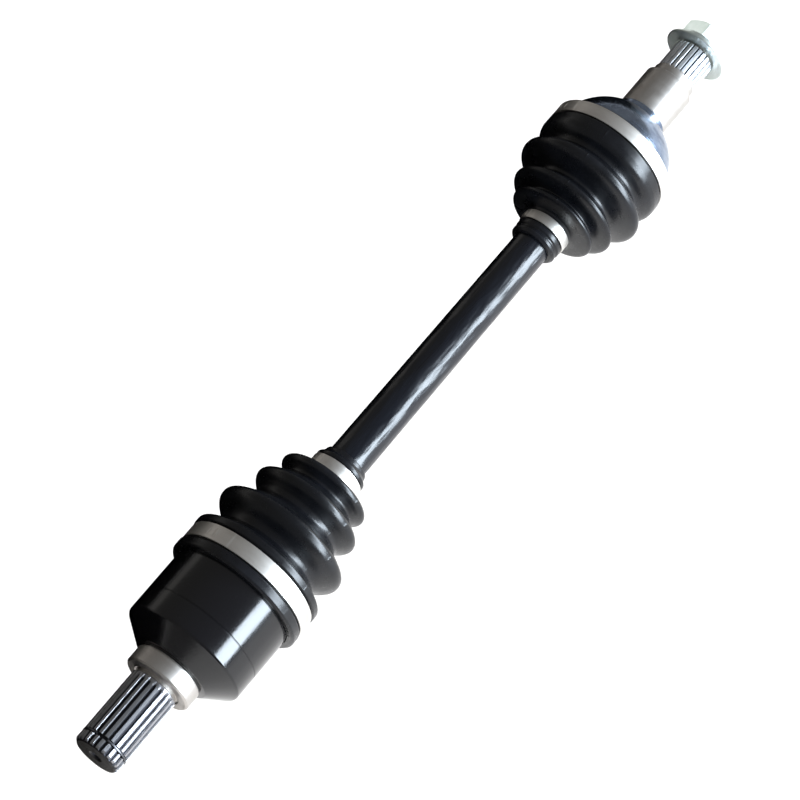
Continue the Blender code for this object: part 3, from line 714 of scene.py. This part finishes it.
def snap_ring(name, x, radius, half_x, half_r, gap_degrees, body, slot, node):
    """A round-edged spring ring with a gap at the top."""
    start = math.radians(gap_degrees / 2)
    verts, faces = [], []
    sides, squareness = 12, 0.6
    turns = np.linspace(start, TAU - start, 121)
    for a in turns:
        for k in range(sides):
            t = TAU * k / sides
            c, s = math.cos(t), math.sin(t)
            px = x + half_x * math.copysign(abs(c) ** squareness, c)
            pr = radius + half_r * math.copysign(abs(s) ** squareness, s)
            verts.append((px * MM, pr * math.sin(a) * MM, pr * math.cos(a) * MM))
    for i in range(len(turns) - 1):
        for k in range(sides):
            j = (k + 1) % sides
            faces.append((i * sides + k, i * sides + j, (i + 1) * sides + j, (i + 1) * sides + k))
    faces += [tuple(range(sides))[::-1], tuple(range(len(verts) - sides, len(verts)))]
    mesh = bpy.data.meshes.new(name)
    mesh.from_pydata(verts, [], faces)
    mesh.shade_smooth()
    mesh.set_sharp_from_angle(angle=math.radians(40))
    ring = bpy.data.objects.new(name, mesh)
    bpy.context.scene.collection.objects.link(ring)
    finish(ring, body, slot, [SPRING], node)


snap_ring("inboard_stub_snap_ring", -279.4, 13.85, 0.6, 0.75, 30, "inboard_cup", "spring_steel",
          "inboard_stub_circlip")

finishes = {"inner_race": RACE, "cage": CAGE, "circlip": SPRING, "retainer": SPRING, "ball": CHROME}
for node_name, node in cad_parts.items():
    if not node.hide_render:
        node.data.materials.clear()
        node.data.materials.append(next(m for key, m in finishes.items() if key in node_name))


# Stage, light and camera -------------------------------------------------------------------------

scene = bpy.context.scene
FLOOR_DROP = 0.1
low = CAD_BOX[0][2] - FLOOR_DROP        # below the reach of both ends when the joints bend


def sheet(name, x0, x1, y0, y1, z):
    """A flat rectangle of the stage."""
    mesh = bpy.data.meshes.new(name)
    mesh.from_pydata([(x0, y0, z), (x1, y0, z), (x1, y1, z), (x0, y1, z)], [], [(0, 1, 2, 3)])
    obj = bpy.data.objects.new(name, mesh)
    scene.collection.objects.link(obj)
    return obj


floor = sheet("floor", -8.0, 8.0, -8.0, 8.0, low)
paper = Nodes("paper", (0.9, 0.9, 0.9), 0.8)
paper.put("Base Color", paper.mix(paper.noise(paper.place, 40, 4), (0.9, 0.9, 0.9), (0.92, 0.92, 0.92)))
floor.data.materials.append(paper.material)

# A black card beside the axle, seen only in its reflections: a painted shadow on the floor where the axle's
# shade would fall
card = sheet("painted_shadow_card", -4.0, 4.0, 0.03, 6.0, low + 0.001)
card.data.materials.append(Nodes("painted_shadow_black", (0.0, 0.0, 0.0), 1.0, 0.0, Specular_IOR_Level=0.0).material)
card.visible_camera = card.visible_diffuse = card.visible_shadow = card.visible_transmission = False

# A pale backdrop for low views, seen only directly
bm = bmesh.new()
bmesh.ops.create_uvsphere(bm, u_segments=32, v_segments=16, radius=12.0)
mesh = bpy.data.meshes.new("backdrop")
bm.to_mesh(mesh)
bm.free()
backdrop = bpy.data.objects.new("backdrop", mesh)
scene.collection.objects.link(backdrop)
glow = Nodes("backdrop_paper", (0.0, 0.0, 0.0), 1.0, 0.0, Specular_IOR_Level=0.0, Emission_Strength=1.0)
glow.put("Emission Color", glow.mix(glow.noise(glow.place, 0.2, 2), (1.0, 1.0, 1.0), (0.98, 0.98, 0.98)))
mesh.materials.append(glow.material)
backdrop.visible_diffuse = backdrop.visible_glossy = backdrop.visible_transmission = False
backdrop.visible_shadow = False

world = bpy.data.worlds.new("studio")
scene.world = world
world.use_nodes = True
sky = world.node_tree.nodes["Background"]
sky.inputs["Color"].default_value = (0.95, 0.93, 0.9, 1.0)
sky.inputs["Strength"].default_value = 0.2


def linked(name, floor_too):
    """A group for light linking: only the floor, or everything but the floor."""
    group = bpy.data.collections.new(name)
    group.objects.link(floor)
    if not floor_too:
        group.collection_objects[0].light_linking.link_state = "EXCLUDE"
    return group


def softbox(name, place, aim, size, radiance, colour, receivers):
    """A rectangular soft light that glows at a given radiance."""
    light = bpy.data.lights.new(name, "AREA")
    light.shape = "RECTANGLE"
    light.size, light.size_y = size
    light.energy = radiance * math.pi * size[0] * size[1]
    light.color = colour
    obj = bpy.data.objects.new(name, light)
    scene.collection.objects.link(obj)
    obj.location = place
    obj.rotation_euler = (Vector(aim) - Vector(place)).to_track_quat("-Z", "Y").to_euler()
    obj.visible_camera = False
    obj.light_linking.receiver_collection = receivers


only_floor, all_but_floor = linked("only_floor", True), linked("all_but_floor", False)
window = {"place": (0.5, -1.25, 0.43), "aim": (0.3, 0, 0), "size": (2.6, 0.55)}
softbox("window", **window, radiance=24.0, colour=(0.78, 0.89, 1.0), receivers=all_but_floor)
softbox("window_on_floor", **window, radiance=1.6, colour=(1.0, 1.0, 1.0), receivers=only_floor)
softbox("fill", place=(0.0, 1.6, 0.35), aim=(0, 0, 0), size=(2.4, 0.4), radiance=0.3,
        colour=(1.0, 0.97, 0.93), receivers=all_but_floor)
nut_and_washer = bpy.data.collections.new("nut_and_washer")
nut_and_washer.objects.link(nut)
nut_and_washer.objects.link(washer)
softbox("back_light", place=(0.8, 1.2, 0.3), aim=(0.28, 0, 0), size=(0.9, 0.7), radiance=1.3,
        colour=(0.97, 1.0, 0.98), receivers=nut_and_washer)
wash = bpy.data.objects.new("floor_wash", bpy.data.lights.new("floor_wash", "SUN"))
scene.collection.objects.link(wash)
wash.data.energy = 3.5
wash.data.use_shadow = False
wash.light_linking.receiver_collection = only_floor

aim = Vector((-0.019, 0, 0))
azimuth, elevation, distance = math.radians(-52.88), math.radians(62.35), 1.94
camera = bpy.data.objects.new("camera", bpy.data.cameras.new("camera"))
scene.collection.objects.link(camera)
back = Vector((math.sin(azimuth) * math.cos(elevation), -math.cos(azimuth) * math.cos(elevation),
               math.sin(elevation)))
camera.location = aim + back * distance
camera.rotation_euler = back.to_track_quat("Z", "Y").to_euler()
camera.data.lens, camera.data.sensor_width = 156.1, 36.0
camera.data.clip_start = 0.01
scene.camera = camera
scene.view_settings.view_transform = "Standard"
